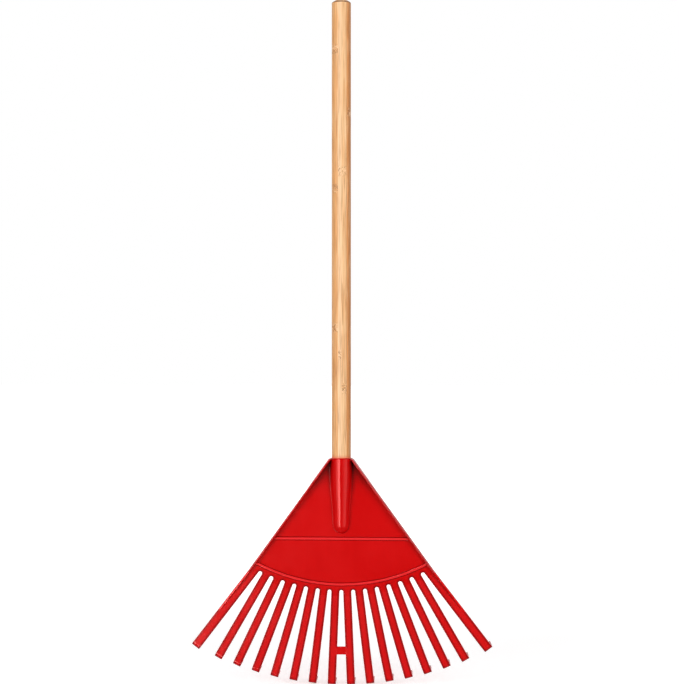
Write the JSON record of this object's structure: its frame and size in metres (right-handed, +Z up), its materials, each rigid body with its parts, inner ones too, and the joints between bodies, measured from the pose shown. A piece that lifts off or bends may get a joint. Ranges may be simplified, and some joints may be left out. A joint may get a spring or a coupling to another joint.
{
  "type": "leaf rake",
  "caption": "Small hand leaf rake: red moulded fan head with flat hooked spring tines, ribbed plate and closed tapered socket on a round bamboo handle.",
  "frame": {"origin": "on the handle's axis in the middle of the hand grip, 108.5 mm below the handle's top end", "axes": "+Z up along the handle, +X to the right seen from the front, -Y to the front of the head; the tine hooks point to +Y"},
  "size_m": [0.3086, 0.0317, 0.6997],
  "materials": {
    "red_plastic": "satin moulded polypropylene, red right through",
    "bamboo": "sanded laminated bamboo with a thin clear coat",
    "zinc_steel": "zinc plated steel"
  },
  "bodies": {
    "rake": {"rake_head": "red_plastic", "handle": "bamboo", "fixing_screw": "zinc_steel"},
    "outer_tine_left": {"outer_tine_left": "red_plastic"},
    "tine_left_7": {"tine_left_7": "red_plastic"},
    "tine_left_6": {"tine_left_6": "red_plastic"},
    "tine_left_5": {"tine_left_5": "red_plastic"},
    "tine_left_4": {"tine_left_4": "red_plastic"},
    "tine_left_3": {"tine_left_3": "red_plastic"},
    "tine_left_2": {"tine_left_2": "red_plastic"},
    "centre_tine_pair": {"centre_tine_pair": "red_plastic"},
    "tine_right_2": {"tine_right_2": "red_plastic"},
    "tine_right_3": {"tine_right_3": "red_plastic"},
    "tine_right_4": {"tine_right_4": "red_plastic"},
    "tine_right_5": {"tine_right_5": "red_plastic"},
    "tine_right_6": {"tine_right_6": "red_plastic"},
    "tine_right_7": {"tine_right_7": "red_plastic"},
    "outer_tine_right": {"outer_tine_right": "red_plastic"}
  },
  "joints": [
    {"name": "outer_tine_left_flex", "type": "hinge", "parent": "rake", "child": "outer_tine_left", "pos_m": [-0.09301, 0, -0.47914], "axis": [-0.7923, 0, 0.6101], "range_deg": [-5, 10], "stiffness_Nm_per_rad": 1.7},
    {"name": "tine_left_7_flex", "type": "hinge", "parent": "rake", "child": "tine_left_7", "pos_m": [-0.08065, 0, -0.48506], "axis": [-0.8643, 0, 0.503], "range_deg": [-12, 25], "stiffness_Nm_per_rad": 0.62},
    {"name": "tine_left_6_flex", "type": "hinge", "parent": "rake", "child": "tine_left_6", "pos_m": [-0.06856, 0, -0.48988], "axis": [-0.9022, 0, 0.4314], "range_deg": [-12, 25], "stiffness_Nm_per_rad": 0.62},
    {"name": "tine_left_5_flex", "type": "hinge", "parent": "rake", "child": "tine_left_5", "pos_m": [-0.0563, 0, -0.49388], "axis": [-0.9342, 0, 0.3569], "range_deg": [-12, 25], "stiffness_Nm_per_rad": 0.62},
    {"name": "tine_left_4_flex", "type": "hinge", "parent": "rake", "child": "tine_left_4", "pos_m": [-0.04392, 0, -0.49706], "axis": [-0.96, 0, 0.28], "range_deg": [-12, 25], "stiffness_Nm_per_rad": 0.62},
    {"name": "tine_left_3_flex", "type": "hinge", "parent": "rake", "child": "tine_left_3", "pos_m": [-0.03144, 0, -0.49943], "axis": [-0.9795, 0, 0.2013], "range_deg": [-12, 25], "stiffness_Nm_per_rad": 0.62},
    {"name": "tine_left_2_flex", "type": "hinge", "parent": "rake", "child": "tine_left_2", "pos_m": [-0.01889, 0, -0.50101], "axis": [-0.9926, 0, 0.1213], "range_deg": [-12, 25], "stiffness_Nm_per_rad": 0.62},
    {"name": "centre_tine_pair_flex", "type": "hinge", "parent": "rake", "child": "centre_tine_pair", "pos_m": [0, 0, -0.5018], "axis": [-1, 0, 0], "range_deg": [-12, 25], "stiffness_Nm_per_rad": 1.24},
    {"name": "tine_right_2_flex", "type": "hinge", "parent": "rake", "child": "tine_right_2", "pos_m": [0.01889, 0, -0.50101], "axis": [-0.9926, 0, -0.1213], "range_deg": [-12, 25], "stiffness_Nm_per_rad": 0.62},
    {"name": "tine_right_3_flex", "type": "hinge", "parent": "rake", "child": "tine_right_3", "pos_m": [0.03144, 0, -0.49943], "axis": [-0.9795, 0, -0.2013], "range_deg": [-12, 25], "stiffness_Nm_per_rad": 0.62},
    {"name": "tine_right_4_flex", "type": "hinge", "parent": "rake", "child": "tine_right_4", "pos_m": [0.04392, 0, -0.49706], "axis": [-0.96, 0, -0.28], "range_deg": [-12, 25], "stiffness_Nm_per_rad": 0.62},
    {"name": "tine_right_5_flex", "type": "hinge", "parent": "rake", "child": "tine_right_5", "pos_m": [0.0563, 0, -0.49388], "axis": [-0.9342, 0, -0.3569], "range_deg": [-12, 25], "stiffness_Nm_per_rad": 0.62},
    {"name": "tine_right_6_flex", "type": "hinge", "parent": "rake", "child": "tine_right_6", "pos_m": [0.06856, 0, -0.48988], "axis": [-0.9022, 0, -0.4314], "range_deg": [-12, 25], "stiffness_Nm_per_rad": 0.62},
    {"name": "tine_right_7_flex", "type": "hinge", "parent": "rake", "child": "tine_right_7", "pos_m": [0.08065, 0, -0.48506], "axis": [-0.8643, 0, -0.503], "range_deg": [-12, 25], "stiffness_Nm_per_rad": 0.62},
    {"name": "outer_tine_right_flex", "type": "hinge", "parent": "rake", "child": "outer_tine_right", "pos_m": [0.09301, 0, -0.47914], "axis": [-0.7923, 0, -0.6101], "range_deg": [-5, 10], "stiffness_Nm_per_rad": 1.7}
  ]
}
